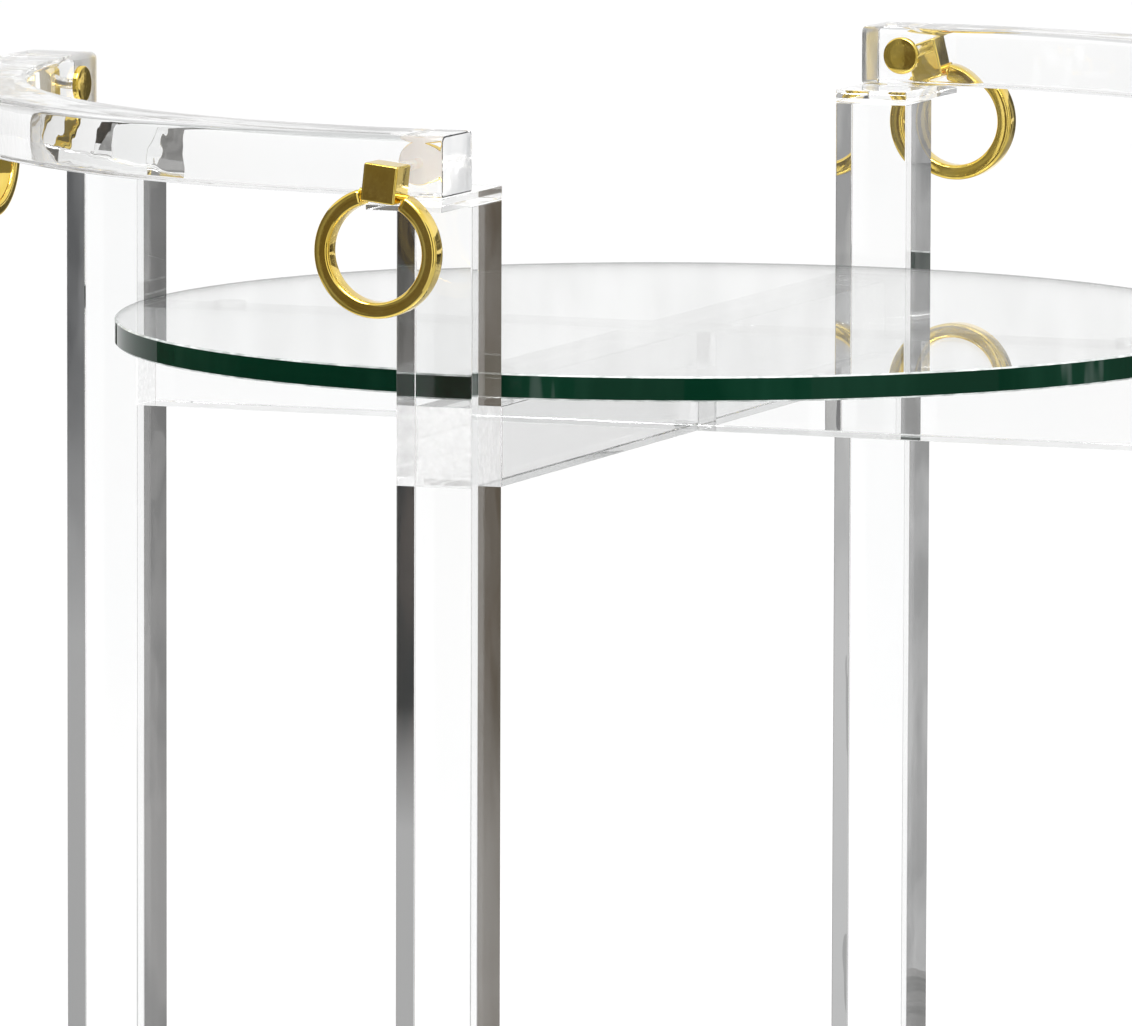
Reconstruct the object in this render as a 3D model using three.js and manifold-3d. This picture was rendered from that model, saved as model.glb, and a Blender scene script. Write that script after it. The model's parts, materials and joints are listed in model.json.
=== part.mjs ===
// Round two-tier bar cart: clear acrylic frame, round glass shelves, brass ring pulls, swivel casters.
// Millimetres, +Z up. The origin is on the floor under the middle of the cart.
// The posts stand on the diagonals, the two curved handles are at -X and +X.
import * as THREE from 'three';
import { mergeVertices } from 'three/addons/utils/BufferGeometryUtils.js';
import Module from 'manifold-3d';

const wasm = await Module();
wasm.setup();

// ---- driving dimensions -------------------------------------------------------------------
const STOCK = 38;              // square acrylic bar stock: posts and cross bars
const POST_RADIUS = 296;       // post centre to cart centre
const JOINT_GAP = 0.2;         // glue line between two acrylic pieces
const POST_BOTTOM = 63.4;
const PLATE_BOTTOM = 826.5;    // underside of the cap plates
const PLATE_T = 6.4;
const HANDLE_H = 29.1;
const HANDLE_TOP = PLATE_BOTTOM + PLATE_T + HANDLE_H;
const INNER_R = POST_RADIUS - STOCK / 2;   // posts' inner faces
const OUTER_R = POST_RADIUS + STOCK / 2;   // posts' outer faces, and the handle's inner face
const RIM_R = OUTER_R + STOCK;             // handle's outer face

const GLASS_R = 273;
const GLASS_T = 12;
const GLASS_EDGE = 0.8;        // polished arris
const TOP_GLASS_Z = 732;       // underside of the top shelf
const LOW_GLASS_Z = 141;       // underside of the lower shelf
const BUMPER_H = 3;
const BUMPER_R = 8;
const BUMPER_AT = 235;

const BLOCK_W = 17;            // along the handle
const BLOCK_H = 18;
const BLOCK_D = 17;            // radial
const BLOCK_GAP = 4.7;         // handle face to block
const BLOCK_DROP = 5.5;        // block centre below the bolt
const BLOCK_EDGE = 0.8;
const BOLT_D = 5;
const CAP_D = 18.8;
const CAP_T = 2.8;
const CAP_GAP = 0.5;           // behind the flat cap, because the handle's face is hollow
const PIN_D = 4;
const PIN_DROP = 6;            // pin below the block centre
const PIN_L = 24.6;
const RING_MID_R = 26.75;
const RING_RADIAL = 7.5;
const RING_AXIAL = 10.9;
const RING_EDGE = 1.5;
const RING_CUT = 10.3;         // ring ends, each side of the block centre
const FIT = 0.25;              // running clearance all round

const WHEEL_R = 25;
const WHEEL_W = 17;
const TRAIL = 18;              // swivel axis to wheel axis
const AXLE_D = 6;
const FORK_T = 2.4;
const FORK_INSIDE = 21;
const FORK_TOP_Z = 56;
const KING_D = 8;

// post letter, direction in degrees, turn of the ring pull about its bolt,
// and where the bolt is drilled: offset along the rim and in height from the handle's end centre
const CORNERS = [
  { id: 'a', deg: 225, turn: -6.2, shift: -3, lift: -1 },
  { id: 'b', deg: 135, turn: -5, shift: 3, lift: 0 },
  { id: 'c', deg: 45, turn: -17.5, shift: -3, lift: 0.5 },
  { id: 'd', deg: -45, turn: -5, shift: 3, lift: 0 },
];

const paint = (color, roughness, metalness, more = {}) =>
  new THREE.MeshStandardMaterial({ color, roughness, metalness, ...more });
const MAT = {
  acrylic: paint(0xf4f7f8, 0.03, 0, { transparent: true, opacity: 0.35 }),
  glass: paint(0xd9e8e0, 0.02, 0, { transparent: true, opacity: 0.4 }),
  bumper: paint(0xe6e8e8, 0.4, 0),
  brass: paint(0xc9a145, 0.14, 1),
  tyre: paint(0x2b2b2d, 0.6, 0),
};

const cart = new THREE.Group();
cart.name = 'bar_cart';

// ---- small tools --------------------------------------------------------------------------
const rad = THREE.MathUtils.degToRad;

function toManifold(geometry) {
  let g = geometry.clone();
  g.deleteAttribute('normal');
  g.deleteAttribute('uv');
  g = mergeVertices(g, 1e-4);
  return new wasm.Manifold(new wasm.Mesh({
    numProp: 3,
    vertProperties: new Float32Array(g.attributes.position.array),
    triVerts: new Uint32Array(g.index.array),
  }));
}

function toGeometry(solid) {
  const mesh = solid.getMesh();
  const flat = new Float32Array(mesh.triVerts.length * 3);
  mesh.triVerts.forEach((v, i) => {
    for (let k = 0; k < 3; k += 1) flat[i * 3 + k] = mesh.vertProperties[v * mesh.numProp + k];
  });
  const g = new THREE.BufferGeometry();
  g.setAttribute('position', new THREE.BufferAttribute(flat, 3));
  g.computeVertexNormals();
  return g;
}

function add(name, geometry, material, matrix) {
  if (matrix) geometry.applyMatrix4(matrix);
  const mesh = new THREE.Mesh(geometry, material);
  mesh.name = name;
  cart.add(mesh);
}

const box = (x, y, z, cx = 0, cy = 0, cz = 0) => new THREE.BoxGeometry(x, y, z).translate(cx, cy, cz);

// A cylinder along X, Y or Z, centred.
function rod(r, length, axis = 'z', segments = 32) {
  const g = new THREE.CylinderGeometry(r, r, length, segments);
  if (axis === 'z') g.rotateX(Math.PI / 2);
  if (axis === 'x') g.rotateZ(Math.PI / 2);
  return g;
}

// A box with all twelve edges chamfered: the hull of its three crossed slabs.
function softBox(x, y, z, edge) {
  const e = 2 * edge;
  const slabs = [box(x, y - e, z - e), box(x - e, y, z - e), box(x - e, y - e, z)];
  return wasm.Manifold.hull(slabs.map(toManifold));
}

// Post frame: local +X points out from the cart's middle, +Y along the rim, +Z up.
const postFrame = (deg) => new THREE.Matrix4().makeRotationZ(rad(deg));

// ---- acrylic frame ------------------------------------------------------------------------
function posts() {
  const top = PLATE_BOTTOM - JOINT_GAP;
  const length = top - POST_BOTTOM;
  for (const c of CORNERS) {
    const body = box(STOCK, STOCK, length, POST_RADIUS, 0, POST_BOTTOM + length / 2);
    add(`post_${c.id}`, body, MAT.acrylic, postFrame(c.deg));
  }
}

function capPlates() {
  const reach = 2 * STOCK;
  for (const c of CORNERS) {
    const plate = box(reach, STOCK, PLATE_T, INNER_R + reach / 2, 0, PLATE_BOTTOM + PLATE_T / 2);
    add(`cap_plate_${c.id}`, plate, MAT.acrylic, postFrame(c.deg));
  }
}

// Cross bar seen from the side, with half of its depth cut away where it meets the other bar.
function crossBar(zBottom, notchUp) {
  const half = INNER_R - JOINT_GAP;
  const slot = STOCK / 2 + JOINT_GAP;
  const mid = STOCK / 2 + (notchUp ? -JOINT_GAP : JOINT_GAP);
  const s = new THREE.Shape();
  s.moveTo(-half, 0);
  if (!notchUp) { s.lineTo(-slot, 0); s.lineTo(-slot, mid); s.lineTo(slot, mid); s.lineTo(slot, 0); }
  s.lineTo(half, 0);
  s.lineTo(half, STOCK);
  if (notchUp) { s.lineTo(slot, STOCK); s.lineTo(slot, mid); s.lineTo(-slot, mid); s.lineTo(-slot, STOCK); }
  s.lineTo(-half, STOCK);
  s.closePath();
  const g = new THREE.ExtrudeGeometry(s, { depth: STOCK, bevelEnabled: false });
  return g.translate(0, 0, -STOCK / 2).rotateX(Math.PI / 2).translate(0, 0, zBottom);
}

function crossBars() {
  for (const [tier, glassZ] of [['upper', TOP_GLASS_Z], ['lower', LOW_GLASS_Z]]) {
    const z = glassZ - BUMPER_H - STOCK;
    add(`${tier}_bar_ac`, crossBar(z, true), MAT.acrylic, postFrame(45));
    add(`${tier}_bar_bd`, crossBar(z, false), MAT.acrylic, postFrame(135));
  }
}

function handles() {
  const h = HANDLE_H - JOINT_GAP;
  const steps = 56;
  for (const [side, deg] of [['left', 180], ['right', 0]]) {
    const reach = (r) => Math.PI / 4 + Math.asin(STOCK / 2 / r);
    const s = new THREE.Shape();
    for (let i = 0; i <= steps; i += 1) {
      const a = reach(RIM_R) * (2 * i / steps - 1);
      s[i ? 'lineTo' : 'moveTo'](RIM_R * Math.cos(a), RIM_R * Math.sin(a));
    }
    for (let i = steps; i >= 0; i -= 1) {
      const a = reach(OUTER_R) * (2 * i / steps - 1);
      s.lineTo(OUTER_R * Math.cos(a), OUTER_R * Math.sin(a));
    }
    s.closePath();
    const arc = new THREE.ExtrudeGeometry(s, { depth: h, bevelEnabled: false });
    arc.translate(0, 0, HANDLE_TOP - h);
    let solid = toManifold(arc.applyMatrix4(postFrame(deg)));
    for (const c of CORNERS) {
      const hole = rod(BOLT_D / 2 + FIT, 60, 'x', 24).translate(OUTER_R + 20, c.shift, boltZ(c));
      solid = solid.subtract(toManifold(hole.applyMatrix4(postFrame(c.deg))));
    }
    add(`handle_${side}`, toGeometry(solid), MAT.acrylic);
  }
}

// ---- glass shelves on clear bumpers --------------------------------------------------------
function shelves() {
  for (const [name, z] of [['glass_top', TOP_GLASS_Z], ['glass_lower', LOW_GLASS_Z]]) {
    const lift = 0.1;
    const e = GLASS_EDGE;
    const outline = [[0, 0], [GLASS_R - e, 0], [GLASS_R, e], [GLASS_R, GLASS_T - e],
      [GLASS_R - e, GLASS_T], [0, GLASS_T]].map(([r, y]) => new THREE.Vector2(r, y));
    const disc = new THREE.LatheGeometry(outline, 120).rotateX(Math.PI / 2);
    add(name, disc.translate(0, 0, z + lift), MAT.glass);
    for (const c of CORNERS) {
      const pad = rod(BUMPER_R, BUMPER_H - JOINT_GAP, 'z', 24);
      pad.translate(BUMPER_AT, 0, z - (BUMPER_H - JOINT_GAP) / 2);
      add(`bumper_${name === 'glass_top' ? 'top' : 'low'}_${c.id}`, pad, MAT.bumper, postFrame(c.deg));
    }
  }
}

// ---- brass ring pulls ----------------------------------------------------------------------
function boltZ(c) {
  return PLATE_BOTTOM + PLATE_T + HANDLE_H / 2 + c.lift;
}

// Local frame of a pull: origin on the bolt axis at the block's middle, +X out, turned with the block.
function pullFrame(c) {
  const x = RIM_R + BLOCK_GAP + BLOCK_D / 2;
  return postFrame(c.deg)
    .multiply(new THREE.Matrix4().makeTranslation(x, c.shift, boltZ(c)))
    .multiply(new THREE.Matrix4().makeRotationX(rad(c.turn)));
}

function bolt(c) {
  const inner = -(RIM_R + BLOCK_GAP + BLOCK_D / 2) + OUTER_R - CAP_GAP;
  const tip = BLOCK_D / 2 - 6;
  const e = 0.7;
  const r = CAP_D / 2;
  const outline = [[0, inner - CAP_T], [r - e, inner - CAP_T], [r, inner - CAP_T + e], [r, inner],
    [BOLT_D / 2, inner], [BOLT_D / 2, tip], [0, tip]].map(([a, b]) => new THREE.Vector2(a, b));
  const g = new THREE.LatheGeometry(outline, 40).rotateZ(-Math.PI / 2);
  add(`bolt_${c.id}`, g, MAT.brass, pullFrame(c));
}

function block(c) {
  let solid = softBox(BLOCK_D, BLOCK_W, BLOCK_H, BLOCK_EDGE).translate([0, 0, -BLOCK_DROP]);
  const boltHole = rod(BOLT_D / 2 + FIT, BLOCK_D, 'x', 24).translate(-5.6, 0, 0);
  const pinHole = rod(PIN_D / 2 + FIT, BLOCK_W * 2, 'y', 24).translate(0, 0, -BLOCK_DROP - PIN_DROP);
  solid = solid.subtract(toManifold(boltHole)).subtract(toManifold(pinHole));
  add(`block_${c.id}`, toGeometry(solid), MAT.brass, pullFrame(c));
}

function ring(c) {
  const r0 = RING_MID_R - RING_RADIAL / 2;
  const r1 = RING_MID_R + RING_RADIAL / 2;
  const h = RING_AXIAL / 2;
  const e = RING_EDGE;
  const section = [[r0 + e, -h], [r1 - e, -h], [r1, -h + e], [r1, h - e], [r1 - e, h], [r0 + e, h],
    [r0, h - e], [r0, -h + e], [r0 + e, -h]].map(([a, b]) => new THREE.Vector2(a, b));
  const band = new THREE.LatheGeometry(section, 64).rotateZ(-Math.PI / 2);
  const pinZ = -BLOCK_DROP - PIN_DROP;
  let solid = toManifold(band.translate(0, 0, pinZ - RING_MID_R));
  const gap = box(RING_AXIAL * 2, 2 * RING_CUT, RING_MID_R, 0, 0, pinZ);
  const pinHole = rod(PIN_D / 2 + FIT, PIN_L + 2 * FIT, 'y', 24).translate(0, 0, pinZ);
  solid = solid.subtract(toManifold(gap)).subtract(toManifold(pinHole));
  add(`ring_${c.id}`, toGeometry(solid), MAT.brass, pullFrame(c));
}

function pin(c) {
  const g = rod(PIN_D / 2, PIN_L, 'y', 24).translate(0, 0, -BLOCK_DROP - PIN_DROP);
  add(`ring_pin_${c.id}`, g, MAT.brass, pullFrame(c));
}

// ---- casters: mounting plate with kingpin, fork, wheel and axle ------------------------------
// Local frame of a caster: origin on the floor under the swivel axis, wheel trailing toward -X.
function casterFrame(c) {
  const a = rad(c.deg);
  return new THREE.Matrix4().makeTranslation(POST_RADIUS * Math.cos(a), POST_RADIUS * Math.sin(a), 0);
}

function casterPlate(c) {
  const top = POST_BOTTOM - JOINT_GAP;
  const square = toManifold(box(STOCK, STOCK, 3, 0, 0, top - 1.5).rotateZ(rad(c.deg)));
  const race = [[0, FORK_TOP_Z - 6.4], [6, FORK_TOP_Z - 6.4], [6, FORK_TOP_Z - 3 - FIT],
    [KING_D / 2, FORK_TOP_Z - 3 - FIT], [KING_D / 2, FORK_TOP_Z + FIT], [14, FORK_TOP_Z + FIT],
    [14, top - 2], [0, top - 2]].map(([r, z]) => new THREE.Vector2(r, z));
  const post = toManifold(new THREE.LatheGeometry(race, 32).rotateX(Math.PI / 2));
  add(`caster_plate_${c.id}`, toGeometry(square.add(post)), MAT.brass, casterFrame(c));
}

function fork(c) {
  const side = new THREE.Shape();
  side.moveTo(-15, FORK_TOP_Z);
  side.lineTo(15, FORK_TOP_Z);
  side.lineTo(15, FORK_TOP_Z - 8);
  for (let i = 0; i <= 10; i += 1) {
    const a = rad(20 - 18 * i);
    side.lineTo(-TRAIL + 7.5 * Math.cos(a), WHEEL_R + 7.5 * Math.sin(a));
  }
  side.lineTo(-21, FORK_TOP_Z - 8);
  side.closePath();
  const width = FORK_INSIDE + 2 * FORK_T;
  const shell = new THREE.ExtrudeGeometry(side, { depth: width, bevelEnabled: false });
  shell.rotateX(Math.PI / 2).translate(0, width / 2, 0);
  const inside = box(90, FORK_INSIDE, 80, -TRAIL, 0, FORK_TOP_Z - 3 - 40);
  const kingHole = rod(KING_D / 2 + FIT, 20, 'z', 32).translate(0, 0, FORK_TOP_Z);
  const axleHole = rod(AXLE_D / 2 + FIT, 60, 'y', 24).translate(-TRAIL, 0, WHEEL_R);
  let solid = toManifold(shell);
  for (const cut of [inside, kingHole, axleHole]) solid = solid.subtract(toManifold(cut));
  add(`fork_${c.id}`, toGeometry(solid), MAT.brass, casterFrame(c));
}

function wheel(c) {
  const bore = AXLE_D / 2 + FIT;
  const w = WHEEL_W / 2;
  const section = [[bore, -w - 1], [9, -w - 1], [9, -w + 1.5], [17, -w + 1.5], [19, -w], [WHEEL_R - 2, -w],
    [WHEEL_R, -w + 2.5], [WHEEL_R, w - 2.5], [WHEEL_R - 2, w], [19, w], [17, w - 1.5], [9, w - 1.5],
    [9, w + 1], [bore, w + 1], [bore, -w - 1]].map(([r, y]) => new THREE.Vector2(r, y));
  const g = new THREE.LatheGeometry(section, 40).translate(-TRAIL, 0, 0);
  add(`wheel_${c.id}`, g.translate(0, 0, WHEEL_R), MAT.tyre, casterFrame(c));
}

function axle(c) {
  const out = FORK_INSIDE / 2 + FORK_T + FIT;
  const outline = [[0, -out - 2], [4, -out - 2], [5, -out - 1], [5, -out], [AXLE_D / 2, -out],
    [AXLE_D / 2, out], [5, out], [5, out + 1], [4, out + 2], [0, out + 2]]
    .map(([r, y]) => new THREE.Vector2(r, y));
  const g = new THREE.LatheGeometry(outline, 24).translate(-TRAIL, 0, WHEEL_R);
  add(`axle_${c.id}`, g, MAT.brass, casterFrame(c));
}

posts();
capPlates();
crossBars();
handles();
shelves();
for (const c of CORNERS) {
  for (const make of [bolt, block, ring, pin, casterPlate, fork, wheel, axle]) make(c);
}

export default cart;
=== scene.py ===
"""Studio picture of the round acrylic bar cart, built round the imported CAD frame. Metres, +Z up."""
import json
import math

import bmesh
import bpy
from mathutils import Matrix, Vector


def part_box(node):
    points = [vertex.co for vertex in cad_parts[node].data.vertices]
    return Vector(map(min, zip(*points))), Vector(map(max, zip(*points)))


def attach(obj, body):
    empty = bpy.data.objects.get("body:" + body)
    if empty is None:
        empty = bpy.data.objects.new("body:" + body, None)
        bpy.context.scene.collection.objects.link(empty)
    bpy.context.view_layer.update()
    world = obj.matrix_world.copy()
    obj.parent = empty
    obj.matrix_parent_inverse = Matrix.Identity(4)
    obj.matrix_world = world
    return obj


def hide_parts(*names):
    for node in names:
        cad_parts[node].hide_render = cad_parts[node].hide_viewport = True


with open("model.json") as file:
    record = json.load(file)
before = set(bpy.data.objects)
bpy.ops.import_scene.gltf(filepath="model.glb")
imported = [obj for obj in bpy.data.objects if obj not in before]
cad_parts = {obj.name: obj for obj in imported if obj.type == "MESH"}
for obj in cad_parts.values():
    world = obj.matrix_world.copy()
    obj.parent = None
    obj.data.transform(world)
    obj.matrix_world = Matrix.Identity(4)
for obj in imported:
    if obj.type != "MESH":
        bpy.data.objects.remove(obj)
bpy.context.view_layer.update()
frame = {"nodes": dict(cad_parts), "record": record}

MM = 0.001
STOCK = 38 * MM      # square acrylic bar
RIM_R = 353 * MM     # outer face of the handles, from the cart's middle
CORNERS = {"a": 225, "b": 135, "c": 45, "d": -45}       # direction of each post, in degrees
ROLLED = {"a": -6.2, "b": -5.0, "c": -17.5, "d": -5.0}   # degrees each ring pull is turned on its bolt
SHIFTED = {"a": -3 * MM, "b": 3 * MM, "c": -3 * MM, "d": 3 * MM}   # how far the bolt sits along the rim


# ---- materials -----------------------------------------------------------------------------
def shader_of(mat):
    return mat.node_tree.nodes["Principled BSDF"]


def material(name, sockets):
    """A Principled material with these uniform values."""
    mat = bpy.data.materials.new(name)
    mat.use_nodes = True
    for key, value in sockets.items():
        shader_of(mat).inputs[key].default_value = value
    return mat


def noise(mat, scale, detail, stretch=(1, 1, 1), rough=0.5):
    """A noise texture over the object's own coordinates."""
    nodes, links = mat.node_tree.nodes, mat.node_tree.links
    coord = nodes.new("ShaderNodeTexCoord")
    mapping = nodes.new("ShaderNodeMapping")
    mapping.inputs["Scale"].default_value = stretch
    texture = nodes.new("ShaderNodeTexNoise")
    texture.inputs["Scale"].default_value = scale
    texture.inputs["Detail"].default_value = detail
    texture.inputs["Roughness"].default_value = rough
    links.new(coord.outputs["Object"], mapping.inputs["Vector"])
    links.new(mapping.outputs["Vector"], texture.inputs["Vector"])
    return texture.outputs["Fac"]


def ramp(mat, source, stops):
    """Turns a value into a colour. Each stop is a position and its red, green and blue."""
    node = mat.node_tree.nodes.new("ShaderNodeValToRGB")
    while len(node.color_ramp.elements) < len(stops):
        node.color_ramp.elements.new(0.5)
    for element, (position, colour) in zip(node.color_ramp.elements, stops):
        element.position = position
        element.color = (*colour, 1.0)
    mat.node_tree.links.new(source, node.inputs["Fac"])
    return node.outputs["Color"]


def vary(mat, socket, source, *stops):
    mat.node_tree.links.new(ramp(mat, source, stops), shader_of(mat).inputs[socket])


def bump(mat, height, strength, distance):
    node = mat.node_tree.nodes.new("ShaderNodeBump")
    node.inputs["Strength"].default_value = strength
    node.inputs["Distance"].default_value = distance
    mat.node_tree.links.new(height, node.inputs["Height"])
    mat.node_tree.links.new(node.outputs["Normal"], shader_of(mat).inputs["Normal"])


def acrylic_material(name, wave_scale, wave_height):
    """Clear acrylic. Its faces are not quite flat, so what is seen through them bends a little."""
    mat = material(name, {"Roughness": 0.0, "IOR": 1.49, "Transmission Weight": 1.0})
    vary(mat, "Base Color", noise(mat, 9.0, 2.0), (0.3, (0.978, 0.985, 0.987)), (0.7, (0.997, 0.997, 0.995)))
    bump(mat, noise(mat, wave_scale, 1.5), 1.0, wave_height)
    return mat


def saw_end_material():
    """The sanded end of a handle: pale, half clear."""
    mat = material("acrylic_end", {"Roughness": 0.10, "IOR": 1.49, "Transmission Weight": 0.28})
    vary(mat, "Base Color", noise(mat, 60.0, 2.0), (0.3, (0.84, 0.85, 0.86)), (0.7, (0.93, 0.93, 0.93)))
    return mat


def bond_material():
    """The glue line between two acrylic pieces: light passes straight through it."""
    return material("acrylic_bond", {"Alpha": 0.0, "Roughness": 0.5})


def milky_bond_painted_glow_material():
    """The glue on a post: a thin milky film, partly clear, whose glow is painted light (emission) that
    lights up the joint.
    """
    # the emission is painted light: the glue glows though it is no lamp; only the patchy see-through is the
    # film's own
    mat = material("acrylic_bond_milky_painted_glow", {"Roughness": 0.5, "Emission Color": (1, 1, 1, 1),
                                          "Emission Strength": 0.58})
    vary(mat, "Alpha", noise(mat, 120.0, 3.0), (0.3, (0.36,) * 3), (0.7, (0.56,) * 3))
    return mat


def glass_material():
    mat = material("shelf_glass", {"Roughness": 0.0, "IOR": 1.52, "Transmission Weight": 1.0})
    vary(mat, "Base Color", noise(mat, 5.0, 2.0), (0.3, (0.865, 0.878, 0.873)), (0.7, (0.885, 0.892, 0.888)))
    return mat


def rim_painted_streaks_material():
    """The polished green edge of the shelf glass. The dark green is its own; the lighter soft streaks are
    painted light, standing in for what the glass passes on.
    """
    mat = material("shelf_glass_edge_painted_streaks", {"Roughness": 0.03, "IOR": 1.52, "Specular IOR Level": 0.06})
    # dark green is the edge's own colour; the lighter stops make painted streaks of light passed along the
    # glass
    vary(mat, "Base Color", noise(mat, 16.0, 4.0, (1, 1, 0.15), 0.6),
         (0.48, (0.0010, 0.017, 0.008)), (0.62, (0.004, 0.026, 0.014)), (0.68, (0.10, 0.125, 0.115)))
    return mat


def arris_material():
    """The narrow ground bevel along the edge of the shelf glass."""
    mat = material("shelf_glass_arris", {"Roughness": 0.22, "IOR": 1.52})
    vary(mat, "Base Color", noise(mat, 160.0, 2.0), (0.35, (0.30, 0.33, 0.32)), (0.65, (0.62, 0.65, 0.64)))
    return mat


def brass_material():
    """Polished, lacquered brass with fine wear."""
    mat = material("brass_polished", {"Metallic": 1.0})
    vary(mat, "Base Color", noise(mat, 60.0, 3.0), (0.3, (0.80, 0.57, 0.10)), (0.7, (0.90, 0.69, 0.19)))
    vary(mat, "Roughness", noise(mat, 420.0, 4.0), (0.45, (0.045,) * 3), (0.75, (0.16,) * 3))
    bump(mat, noise(mat, 700.0, 2.0), 0.05, 0.0002)
    return mat


def bolt_material():
    """Bright metal of the bolt's shaft, seen through the handle."""
    mat = material("bolt_polished", {"Metallic": 1.0, "Roughness": 0.25})
    vary(mat, "Base Color", noise(mat, 300.0, 2.0), (0.3, (0.88, 0.85, 0.80)), (0.7, (0.98, 0.97, 0.95)))
    return mat


def washer_painted_glow_material():
    """Pale pearl washer glued behind each bolt cap, with a painted glow (emission) that brightens it though
    it is no lamp.
    """
    # the emission is painted light that lifts the washer out of the shade inside the handle; the pale pink
    # base colour is its own
    mat = material("cap_washer_painted_glow", {"Roughness": 0.25, "Emission Color": (1, 0.96, 0.94, 1),
                                  "Emission Strength": 0.38})
    vary(mat, "Base Color", noise(mat, 150.0, 2.0), (0.3, (0.93, 0.84, 0.78)), (0.7, (0.98, 0.96, 0.94)))
    return mat


def bumper_material():
    mat = material("bumper_clear", {"Roughness": 0.1, "IOR": 1.45, "Transmission Weight": 0.9})
    vary(mat, "Base Color", noise(mat, 90.0, 2.0), (0.3, (0.90, 0.91, 0.91)), (0.7, (0.96, 0.96, 0.96)))
    return mat


def rubber_material():
    """Satin black rubber with a little dust."""
    mat = material("wheel_rubber", {"Specular IOR Level": 0.35})
    dust = noise(mat, 120.0, 5.0)
    vary(mat, "Base Color", dust, (0.4, (0.014, 0.014, 0.015)), (0.75, (0.035, 0.034, 0.033)))
    vary(mat, "Roughness", dust, (0.3, (0.42,) * 3), (0.7, (0.62,) * 3))
    bump(mat, dust, 0.12, 0.0003)
    return mat


ACRYLIC = acrylic_material("acrylic_clear", 12.0, 0.0001)
BENT = acrylic_material("acrylic_bent", 48.0, 0.00014)
BOND, MILKY_PAINTED_GLOW, SAW_END = bond_material(), milky_bond_painted_glow_material(), saw_end_material()
GLASS, GLASS_EDGE_PAINTED_STREAKS, ARRIS = glass_material(), rim_painted_streaks_material(), arris_material()
BRASS, BUMPER, RUBBER = brass_material(), bumper_material(), rubber_material()
BOLT, WASHER_PAINTED_GLOW = bolt_material(), washer_painted_glow_material()


# ---- mesh helpers ----------------------------------------------------------------------------
def outward(deg):
    """The level direction from the cart's middle at this angle."""
    a = math.radians(deg)
    return Vector((math.cos(a), math.sin(a), 0))


def body_of_node(node):
    for body, nodes in frame["record"]["behaviour"]["bodies"].items():
        if node in nodes:
            return body
    raise KeyError(node)


def finish_piece(bm, name, nodes, materials, smooth=28):
    """Makes the mesh an object that rides its CAD node's body and takes that node's place."""
    me = bpy.data.meshes.new(name)
    bmesh.ops.recalc_face_normals(bm, faces=bm.faces)
    bm.to_mesh(me)
    bm.free()
    for p in me.polygons:
        p.use_smooth = True
    me.set_sharp_from_angle(angle=math.radians(smooth))
    for m in materials:
        me.materials.append(m)
    ob = bpy.data.objects.new(name, me)
    bpy.context.scene.collection.objects.link(ob)
    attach(ob, body_of_node(nodes[0]))
    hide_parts(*nodes)
    return ob


def add_bevel(ob, width):
    b = ob.modifiers.new("edge", "BEVEL")
    b.width = width
    b.segments = 2
    b.limit_method = "ANGLE"
    b.angle_limit = math.radians(30)
    b.miter_outer = "MITER_ARC"
    b.harden_normals = True


def cad_solid(node):
    """The CAD node as a clean bmesh with whole flat faces."""
    bm = bmesh.new()
    bm.from_mesh(frame["nodes"][node].data)
    bmesh.ops.remove_doubles(bm, verts=bm.verts, dist=2e-6)
    bmesh.ops.dissolve_limit(bm, angle_limit=math.radians(0.3), verts=bm.verts, edges=bm.edges)
    return bm


def cut(bm, point, normal):
    bmesh.ops.bisect_plane(bm, geom=bm.verts[:] + bm.edges[:] + bm.faces[:], dist=1e-7,
                           plane_co=point, plane_no=normal)


def rounded_section(width, height, top_radius, low_radius, crown=0.0, steps=6):
    """Closed outline of a rounded rectangle, as (x, y) pairs. crown is how far its top and bottom swell."""
    points = []
    for sx, sy, start in ((1, 1, 0), (-1, 1, 90), (-1, -1, 180), (1, -1, 270)):
        radius = top_radius if sy > 0 else low_radius
        w, h = width / 2 - radius, height / 2 - radius
        cx, cy = sx * w, sy * h
        for i in range(steps + 1):
            a = math.radians(start + 90 * i / steps)
            points.append((cx + radius * math.cos(a), cy + radius * math.sin(a)))
        if start in (0, 180):
            sign = 1 if start == 0 else -1
            for t in (0.25, 0.5, 0.75):
                points.append((sign * w * (1 - 2 * t), sign * (height / 2 + crown * math.sin(math.pi * t))))
    return points


# ---- acrylic frame ---------------------------------------------------------------------------
def posts():
    spans = []
    for tier in ("upper", "lower"):
        low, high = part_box(f"{tier}_bar_ac")
        spans.append((low[2], high[2]))
    for c, deg in CORNERS.items():
        out = outward(deg)
        bm = cad_solid(f"post_{c}")
        top = max(v.co.z for v in bm.verts)
        for low, high in spans:
            cut(bm, (0, 0, low), (0, 0, 1))
            cut(bm, (0, 0, high), (0, 0, 1))

        for f in bm.faces:
            centre = f.calc_center_median()
            on_bar = any(low < centre.z < high for low, high in spans) and f.normal.dot(out) < -0.9
            # bar joints and the post's top get the milky glue, which carries a painted glow
            f.material_index = 1 if on_bar or centre.z > top - 1e-5 else 0
        add_bevel(finish_piece(bm, f"post_{c}_bar", [f"post_{c}"], [ACRYLIC, MILKY_PAINTED_GLOW]), 0.7 * MM)


def cap_plates():
    for c, deg in CORNERS.items():
        out = outward(deg)
        bm = cad_solid(f"cap_plate_{c}")
        rs = [v.co.dot(out) for v in bm.verts]
        middle = (min(rs) + max(rs)) / 2
        cut(bm, out * middle, out)

        for f in bm.faces:
            outside = f.calc_center_median().dot(out) > middle
            on_post, under_handle = f.normal.z < -0.9 and not outside, f.normal.z > 0.9 and outside
            # the face on the post gets the milky glue, which carries a painted glow
            f.material_index = 2 if on_post else 1 if under_handle else 0
        layers = [ACRYLIC, BOND, MILKY_PAINTED_GLOW]
        add_bevel(finish_piece(bm, f"cap_plate_{c}_slab", [f"cap_plate_{c}"], layers), 0.4 * MM)


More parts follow.
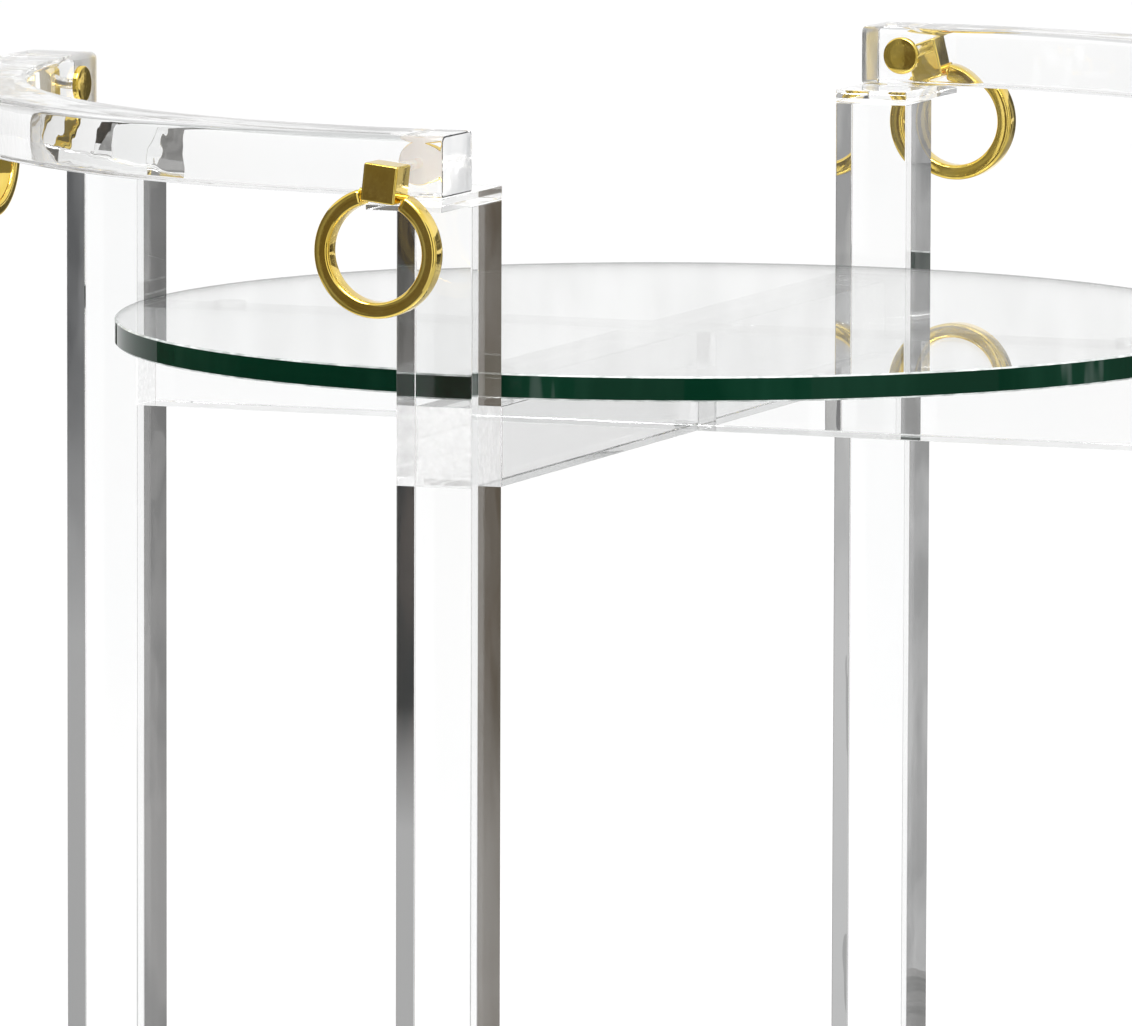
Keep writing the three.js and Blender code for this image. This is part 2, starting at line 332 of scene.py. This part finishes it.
def cross_bars():
    for tier in ("upper", "lower"):
        for pair, deg in (("ac", 45), ("bd", 135)):
            out = outward(deg)
            node = f"{tier}_bar_{pair}"
            bm = cad_solid(node)
            low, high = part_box(node)

            for f in bm.faces:
                end = abs(f.normal.dot(out)) > 0.9
                notch = abs(f.normal.z) > 0.9 and low[2] + 0.002 < f.calc_center_median().z < high[2] - 0.002
                f.material_index = 1 if end or notch else 0
            add_bevel(finish_piece(bm, f"{node}_stick", [node], [ACRYLIC, BOND]), 0.5 * MM)


def handles():
    """Each handle is a rounded section swept round the rim, with flat sanded ends."""
    low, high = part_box("handle_left")
    inner, half, edge = RIM_R - STOCK, STOCK / 2, 0.9 * MM
    middle_r, middle_z = (inner + RIM_R) / 2, (low[2] + high[2]) / 2
    section = rounded_section(RIM_R - inner, high[2] - low[2], 3.4 * MM, 1.2 * MM)
    plate_steps, arc_steps = 5, 48
    for side, deg in (("left", 180), ("right", 0)):
        rows = [("end", half, edge), ("end", half - 0.3 * edge, 0.3 * edge), ("end", half - edge, 0)]
        rows += [("end", half - (2 * half - edge) * k / plate_steps, 0) for k in range(1, plate_steps)]
        arc_start = len(rows)
        rows += [("arc", 1 - k / arc_steps, 0) for k in range(arc_steps + 1)]
        mirrored = [(kind, v if kind == "end" else -v, shrink) for kind, v, shrink in rows[-2::-1]]
        bm = bmesh.new()
        loops = []
        for index, (kind, v, shrink) in enumerate(rows + mirrored):
            sign = 1 if index < len(rows) else -1
            loop = []
            for u, w in section:
                r = middle_r + u * (1 - 2 * shrink / (RIM_R - inner))
                z = middle_z + w * (1 - 2 * shrink / (high[2] - low[2]))
                if kind == "end":
                    a = sign * (math.pi / 4 + math.asin(v / r))
                else:
                    a = v * (math.pi / 4 - math.asin(half / r))
                a += math.radians(deg)
                loop.append(bm.verts.new((r * math.cos(a), r * math.sin(a), z)))
            loops.append(loop)
        count = len(section)
        for index, (one, two) in enumerate(zip(loops, loops[1:])):
            on_plate = 2 <= min(index, len(loops) - 2 - index) < arc_start
            for i in range(count):
                face = bm.faces.new((one[i], one[(i + 1) % count], two[(i + 1) % count], two[i]))
                under = all(abs(vert.co.z - low[2]) < 1e-6 for vert in face.verts)
                face.material_index = 1 if on_plate and under else 0
        bm.faces.new(loops[0]).material_index = 2
        bm.faces.new(loops[-1][::-1]).material_index = 2
        finish_piece(bm, f"handle_{side}_bar", [f"handle_{side}"], [BENT, BOND, SAW_END], 30)


# ---- glass shelves ---------------------------------------------------------------------------
def lathe(profile, segments, indices=None):
    """A solid of revolution about Z. The profile runs from axis to axis."""
    bm = bmesh.new()
    angles = [2 * math.pi * i / segments for i in range(segments)]
    rows = []
    for r, z in profile:
        if r < 1e-9:
            rows.append([bm.verts.new((0, 0, z))])
        else:
            rows.append([bm.verts.new((r * math.cos(a), r * math.sin(a), z)) for a in angles])
    for k in range(len(rows) - 1):
        a, b = rows[k], rows[k + 1]
        for i in range(segments):
            j = (i + 1) % segments
            ring = [a[i % len(a)], a[j % len(a)], b[j % len(b)], b[i % len(b)]]
            face = bm.faces.new(list(dict.fromkeys(ring)))
            if indices:
                face.material_index = indices[k]
    return bm


def shelves():
    for name in ("glass_top", "glass_lower"):
        low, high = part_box(name)
        r, arris = (high[0] - low[0]) / 2, 0.8 * MM
        lower_half = [(0, low[2]), (r - arris, low[2]), (r, low[2] + arris)]
        upper_half = [(r, high[2] - arris), (r - arris, high[2]), (0, high[2])]
        bm = lathe(lower_half + upper_half, 256, [0, 2, 1, 2, 0])
        finish_piece(bm, f"{name}_disc", [name], [GLASS, GLASS_EDGE_PAINTED_STREAKS, ARRIS], 20)


# ---- brass ring pulls ------------------------------------------------------------------------
def pull_matrix(c):
    """The pull's own frame: +X out along the bolt, starting over the cart's middle, +Y along the rim."""
    low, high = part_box(f"bolt_{c}")
    centre = (Vector(low) + Vector(high)) / 2
    return Matrix.LocRotScale(Vector((0, 0, centre.z)), None, None) \
        @ Matrix.Rotation(math.radians(CORNERS[c]), 4, "Z") @ Matrix.Translation((0, SHIFTED[c], 0)) \
        @ Matrix.Rotation(math.radians(ROLLED[c]), 4, "X")


BLOCK_W, BLOCK_H = 17 * MM, 18 * MM
BLOCK_GAP = 4.7 * MM                            # between the handle and the block
BLOCK_X = RIM_R + BLOCK_GAP + BLOCK_W / 2
BLOCK_DROP, PIN_DROP = 5.5 * MM, 11.5 * MM      # block's middle and ring pin, below the bolt
RING_R, RING_THICK, RING_WIDE = 26.75 * MM, 7.5 * MM, 10.9 * MM
RING_OPEN = 10.3 * MM                           # half the opening in which the block stands
PIN_R, PIN_HALF = 2.0 * MM, 12.3 * MM
CAP_R, CAP_T, CAP_ROUND = 9.4 * MM, 2.8 * MM, 1.1 * MM
CAP_FACE = 314.5 * MM                           # where the cap faces the handle
BOLT_R = 2.5 * MM


def ring(c):
    section = rounded_section(RING_THICK, RING_WIDE, 2.0 * MM, 2.0 * MM, 0.05 * MM)
    bm = bmesh.new()
    half_gap = math.asin(RING_OPEN / RING_R)
    rows, steps = [], 168
    for i in range(steps + 1):
        a = math.pi / 2 + half_gap + (2 * math.pi - 2 * half_gap) * i / steps
        shrink = 0.9 if i in (0, steps) else 1.0
        rows.append([bm.verts.new((v * shrink, (RING_R + u * shrink) * math.cos(a),
                                   (RING_R + u * shrink) * math.sin(a) - RING_R)) for u, v in section])
    count = len(section)
    for a, b in zip(rows, rows[1:]):
        for i in range(count):
            bm.faces.new((a[i], a[(i + 1) % count], b[(i + 1) % count], b[i]))
    bm.faces.new(rows[0])
    bm.faces.new(rows[-1][::-1])
    bm.transform(pull_matrix(c) @ Matrix.Translation((BLOCK_X, 0, -PIN_DROP)))
    finish_piece(bm, f"ring_{c}_band", [f"ring_{c}"], [BRASS], 40)


def ring_pin(c):
    r, half, e = PIN_R, PIN_HALF, 0.3 * MM
    bm = lathe([(0, -half), (r - e, -half), (r, -half + e), (r, half - e), (r - e, half), (0, half)], 32)
    across = Matrix.Rotation(math.pi / 2, 4, "X")
    bm.transform(pull_matrix(c) @ Matrix.Translation((BLOCK_X, 0, -PIN_DROP)) @ across)
    finish_piece(bm, f"ring_pin_{c}_rod", [f"ring_pin_{c}"], [BRASS])


def block(c):
    bm = bmesh.new()
    bmesh.ops.create_cube(bm, size=1)
    bm.transform(Matrix.Diagonal((BLOCK_W, BLOCK_W, BLOCK_H, 1)))
    bmesh.ops.bevel(bm, geom=bm.edges[:], offset=1.2 * MM, segments=4, profile=0.5, affect="EDGES")
    bm.transform(pull_matrix(c) @ Matrix.Translation((BLOCK_X, 0, -BLOCK_DROP)))
    ob = finish_piece(bm, f"block_{c}_cube", [f"block_{c}"], [BRASS], 60)
    ob.modifiers.new("normals", "WEIGHTED_NORMAL").keep_sharp = True


def bolt(c):
    """Slightly domed cap with a rounded edge, a pale washer face with a painted glow and the shaft that runs
    to the block.
    """
    back = CAP_FACE - CAP_T
    profile = [(0, back - 0.15 * MM), (CAP_R * 0.55, back - 0.12 * MM), (CAP_R - CAP_ROUND, back)]
    for i in range(1, 6):
        a = math.radians(90 * i / 5)
        profile.append((CAP_R - CAP_ROUND + CAP_ROUND * math.sin(a), back + CAP_ROUND * (1 - math.cos(a))))
    profile += [(CAP_R, CAP_FACE - 0.2 * MM), (CAP_R - 0.2 * MM, CAP_FACE)]
    profile += [(BOLT_R, CAP_FACE), (BOLT_R, BLOCK_X), (0, BLOCK_X)]
    bm = lathe(profile, 72, [0] * (len(profile) - 4) + [2, 1, 1])
    bm.transform(pull_matrix(c) @ Matrix.Rotation(math.pi / 2, 4, "Y"))
    finish_piece(bm, f"bolt_{c}_cap", [f"bolt_{c}"], [BRASS, BOLT, WASHER_PAINTED_GLOW], 35)


# ---- carried-over CAD nodes ------------------------------------------------------------------
def dress(node, mat, bevel):
    """Gives a CAD node that is kept as it is a material and soft edges."""
    ob = frame["nodes"][node]
    ob.data.materials.clear()
    ob.data.materials.append(mat)
    weld = ob.modifiers.new("weld", "WELD")
    weld.merge_threshold = 2e-6
    add_bevel(ob, bevel)


posts()
cap_plates()
cross_bars()
handles()
shelves()
for corner in CORNERS:
    for make in (ring, ring_pin, block, bolt):
        make(corner)
    for tier in ("top", "low"):
        dress(f"bumper_{tier}_{corner}", BUMPER, 0.4 * MM)
    dress(f"caster_plate_{corner}", BRASS, 0.3 * MM)
    dress(f"fork_{corner}", BRASS, 0.4 * MM)
    dress(f"axle_{corner}", BRASS, 0.2 * MM)
    dress(f"wheel_{corner}", RUBBER, 0.4 * MM)


# ---- studio ------------------------------------------------------------------------------------
def emitter(name):
    """A material that only shines, and the input that takes its colour."""
    mat = bpy.data.materials.new(name)
    mat.use_nodes = True
    mat.node_tree.nodes.clear()
    output = mat.node_tree.nodes.new("ShaderNodeOutputMaterial")
    emission = mat.node_tree.nodes.new("ShaderNodeEmission")
    mat.node_tree.links.new(emission.outputs[0], output.inputs["Surface"])
    return mat, emission.inputs["Color"]


def glow(name, colours, low=None):
    """Card surface: streaks from one colour to the other. low = (grey, start, end) fades it from that
    grey, up to the height start, to its own colours at the height end."""
    mat, target = emitter(name)
    nodes, links = mat.node_tree.nodes, mat.node_tree.links
    colour = ramp(mat, noise(mat, 9.0, 3.0, (4.0, 1.0, 1.0)), [(0.38, colours[0]), (0.62, colours[1])])
    if low:
        grey, start, end = low
        coord, split = nodes.new("ShaderNodeTexCoord"), nodes.new("ShaderNodeSeparateXYZ")
        span, mix = nodes.new("ShaderNodeMapRange"), nodes.new("ShaderNodeMix")
        links.new(coord.outputs["Object"], split.inputs["Vector"])
        links.new(split.outputs["Y"], span.inputs["Value"])
        span.inputs["From Min"].default_value = start
        span.inputs["From Max"].default_value = end
        mix.data_type = "RGBA"
        links.new(span.outputs["Result"], mix.inputs["Factor"])
        mix.inputs["A"].default_value = (grey, grey, grey, 1)
        links.new(colour, mix.inputs["B"])
        colour = mix.outputs["Result"]
    links.new(colour, target)
    return mat


def stage_piece(name, verts, faces, mat, matrix):
    me = bpy.data.meshes.new(name)
    me.from_pydata(verts, [], faces)
    me.materials.append(mat)
    ob = bpy.data.objects.new(name, me)
    bpy.context.scene.collection.objects.link(ob)
    ob.matrix_world = matrix
    return ob


def plane(name, matrix, x0, x1, y0, y1, mat):
    corners = [(x0, y0, 0), (x1, y0, 0), (x1, y1, 0), (x0, y1, 0)]
    return stage_piece(name, corners, [(0, 1, 2, 3)], mat, matrix)


def hide_from_camera(ob):
    ob.visible_camera = False
    ob.visible_diffuse = False
    ob.visible_shadow = False


def card(name, deg, distance, x0, x1, bottom, top, colours, low=None):
    """An upright studio card that only reflections and refractions see. x0 and x1 are its sides."""
    out = outward(deg)
    place = Matrix.Translation(out * distance) @ (-out).to_track_quat("Z", "Y").to_matrix().to_4x4()
    hide_from_camera(plane(name, place, x0, x1, bottom, top, glow(name, colours, low)))


def mat_on_floor(name, deg, near, far, half_width, colours):
    """A rectangle on the floor that runs out from the cart, unseen by the camera like the cards."""
    turn = Matrix.Translation((0, 0, 0.5 * MM)) @ Matrix.Rotation(math.radians(deg), 4, "Z")
    hide_from_camera(plane(name, turn, near, far, -half_width, half_width, glow(name, colours)))


def ring_on_floor(name, start, end, near, far):
    """A sector of floor for the acrylic to pick up: grey, fading to white at its inner and outer edge."""
    mat, target = emitter(name)
    nodes, links = mat.node_tree.nodes, mat.node_tree.links
    coord, length = nodes.new("ShaderNodeTexCoord"), nodes.new("ShaderNodeVectorMath")
    span = nodes.new("ShaderNodeMapRange")
    length.operation = "LENGTH"
    links.new(coord.outputs["Object"], length.inputs[0])
    links.new(length.outputs["Value"], span.inputs["Value"])
    span.inputs["From Min"].default_value = near
    span.inputs["From Max"].default_value = far
    white, grey, soft = (0.98,) * 3, (0.66,) * 3, (0.68,) * 3
    stops = [(0.0, white), (0.14, grey), (0.5, soft), (1.0, white)]
    links.new(ramp(mat, span.outputs["Result"], stops), target)
    steps = 64
    rim = [outward(start + (end - start) * i / steps) for i in range(steps + 1)]
    faces = [(i, i + 1, steps + 2 + i, steps + 1 + i) for i in range(steps)]
    verts = [p * near for p in rim] + [p * far for p in rim]
    hide_from_camera(stage_piece(name, verts, faces, mat, Matrix.Translation((0, 0, 0.3 * MM))))


def studio():
    floor_mat = material("floor_white", {"Roughness": 0.6, "Specular IOR Level": 0.1})
    vary(floor_mat, "Base Color", noise(floor_mat, 0.7, 2.0), (0.3, (0.94,) * 3), (0.7, (0.95,) * 3))
    plane("floor", Matrix.Identity(4), -40, 40, -40, 40, floor_mat)
    world = bpy.data.worlds.new("studio")
    bpy.context.scene.world = world
    world.use_nodes = True
    background = world.node_tree.nodes["Background"]
    background.inputs["Color"].default_value = (1, 1, 1, 1)
    background.inputs["Strength"].default_value = 1.08

    dark, slate = ((0.012, 0.014, 0.014), (0.06, 0.050, 0.044)), ((0.07, 0.072, 0.075), (0.16, 0.162, 0.165))
    grey, mid = ((0.09, 0.09, 0.085), (0.22, 0.215, 0.21)), ((0.19, 0.188, 0.185), (0.29, 0.285, 0.28))
    pale, paler = ((0.30, 0.30, 0.30), (0.48, 0.48, 0.47)), ((0.35, 0.35, 0.35), (0.5, 0.5, 0.5))
    light_grey, white = ((0.25, 0.25, 0.25), (0.42, 0.42, 0.42)), ((0.90, 0.90, 0.90), (0.97, 0.97, 0.97))
    warm, olive = ((0.13, 0.107, 0.080), (0.20, 0.180, 0.155)), ((0.12, 0.105, 0.08), (0.22, 0.20, 0.165))
    sand, umber = ((0.30, 0.29, 0.27), (0.45, 0.44, 0.42)), ((0.11, 0.10, 0.085), (0.18, 0.17, 0.145))

    # the two rows of cards that the posts turn to the camera: behind on the right, in front on the left
    back, front, row = 23.5, 203.5, 2.2
    card("card_right_back_near", back, row, 0.0, 0.75, 0, 0.603, dark, (0.40, 0.18, 0.26))
    card("card_right_back_near_top", back, row, 0.0, 0.75, 0.72, 1.2, grey)
    card("card_right_back_pale", back, row, -0.18, 0.0, 0, 0.662, pale, (0.52, 0.30, 0.50))
    card("card_right_back_pale_top", back, row, -0.18, 0.0, 0.74, 1.2, paler)
    card("card_right_back_far", back, row, -0.75, -0.18, 0, 1.2, slate, (0.36, 0.28, 0.46))
    card("card_left_front", front, row, -0.95, 0.0, 0, 2.6, warm)
    card("card_left_front_pale", front, row, 0.0, 0.2, 0, 2.6, light_grey)
    card("card_left_front_far", front, row, 0.2, 0.95, 0, 2.6, mid)
    mat_on_floor("mat_right_back", back, 0.9, row, 0.75, pale)
    mat_on_floor("mat_left_front", front, 0.9, row, 0.95, grey)

    # and the rest of the room
    card("card_left", 150, 2.4, -1.5, 1.5, 0, 1.8, olive)
    card("card_right_front", 330, 2.4, -0.8, 0.8, 0, 1.5, sand)
    card("card_behind_cart", 66.5, 3.0, -2.2, 2.2, 0.80, 3.2, white)
    card("card_behind_camera", -100, 3.2, -0.7, 0.7, 0, 2.2, umber)
    ring_on_floor("ring_on_floor_behind", 48, 85, 0.45, 2.15)
    ring_on_floor("ring_on_floor_around", 85, 408, 0.45, 4.2)

    light = bpy.data.lights.new("overhead", "AREA")
    light.shape = "RECTANGLE"
    light.size, light.size_y = 1.6, 1.1
    light.energy = 60
    lamp = bpy.data.objects.new("overhead", light)
    lamp.location = (-0.6, -1.0, 2.6)
    lamp.rotation_euler = (Vector((0, 0, 0.7)) - lamp.location).to_track_quat("-Z", "Y").to_euler()
    bpy.context.scene.collection.objects.link(lamp)


def camera():
    yaw, pitch, roll = math.radians(-23.67), math.radians(6.7), math.radians(0.17)
    right = Vector((math.cos(yaw), math.sin(yaw), 0))
    forward = Vector((-math.sin(yaw) * math.cos(pitch), math.cos(yaw) * math.cos(pitch), -math.sin(pitch)))
    up = right.cross(forward)
    right, up = math.cos(roll) * right + math.sin(roll) * up, math.cos(roll) * up - math.sin(roll) * right
    shelf_top = Vector((0, 0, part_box("glass_top")[1][2]))
    place = shelf_top - right * 0.05314 - up * 0.09551 - forward * 6.558
    data = bpy.data.cameras.new("camera")
    data.lens = 428.0
    data.sensor_width = 36.0
    data.clip_end = 200
    ob = bpy.data.objects.new("camera", data)
    rotation = Matrix((right, up, -forward)).transposed().to_4x4()
    ob.matrix_world = Matrix.Translation(place) @ rotation
    bpy.context.scene.collection.objects.link(ob)
    bpy.context.scene.camera = ob


studio()
camera()
scene = bpy.context.scene
scene.view_settings.view_transform = "Standard"
scene.cycles.max_bounces = 32
scene.cycles.transmission_bounces = 32
scene.cycles.transparent_max_bounces = 32
scene.cycles.glossy_bounces = 12
